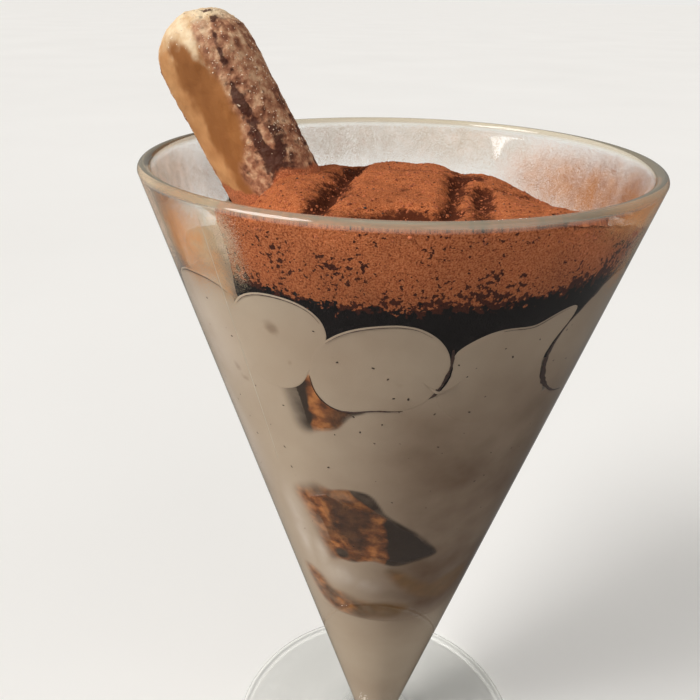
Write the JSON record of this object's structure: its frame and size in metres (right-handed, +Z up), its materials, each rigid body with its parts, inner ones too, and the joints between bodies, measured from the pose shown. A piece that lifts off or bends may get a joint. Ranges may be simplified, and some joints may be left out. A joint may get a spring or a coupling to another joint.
{
  "type": "tiramisu in a footed glass",
  "caption": "Layered tiramisu in a conical footed glass: cream, soaked sponge fingers, spooned cream dollops, a cocoa heap, and a dry sponge finger standing in it.",
  "frame": {"origin": "centre of the underside of the glass's foot, on the surface it stands on", "axes": "+Z up along the glass's axis, -Y towards the viewer, the standing biscuit leans out towards -X"},
  "size_m": [0.1098, 0.1092, 0.2061],
  "materials": {
    "clear_glass": "clear, polished, slightly greenish at the rim",
    "mascarpone_cream": "smooth soft cream with fine specks",
    "soaked_sponge": "wet, open sponge crumb with coffee-dark streaks",
    "cocoa_powder": "dry powder, dull, with furrows and lumps",
    "dry_sponge": "baked golden face, sugared paler dome, cocoa dust"
  },
  "bodies": {
    "root": {"glass": "clear_glass", "cream_tip": "mascarpone_cream", "cream_layer": "mascarpone_cream", "dollop_front": "mascarpone_cream", "dollop_front_left": "mascarpone_cream", "dollop_right": "mascarpone_cream", "dollop_front_right": "mascarpone_cream", "dollop_left": "mascarpone_cream", "dollop_far_left": "mascarpone_cream", "dollop_far_right": "mascarpone_cream", "dollop_back_left": "mascarpone_cream", "dollop_back_right": "mascarpone_cream", "dollop_back": "mascarpone_cream", "dollop_back_far_left": "mascarpone_cream", "soaked_biscuit_lower_left": "soaked_sponge", "soaked_biscuit_lower_right": "soaked_sponge", "soaked_biscuit_middle": "soaked_sponge", "soaked_biscuit_upper": "soaked_sponge", "cocoa": "cocoa_powder", "standing_biscuit": "dry_sponge"}
  },
  "joints": []
}
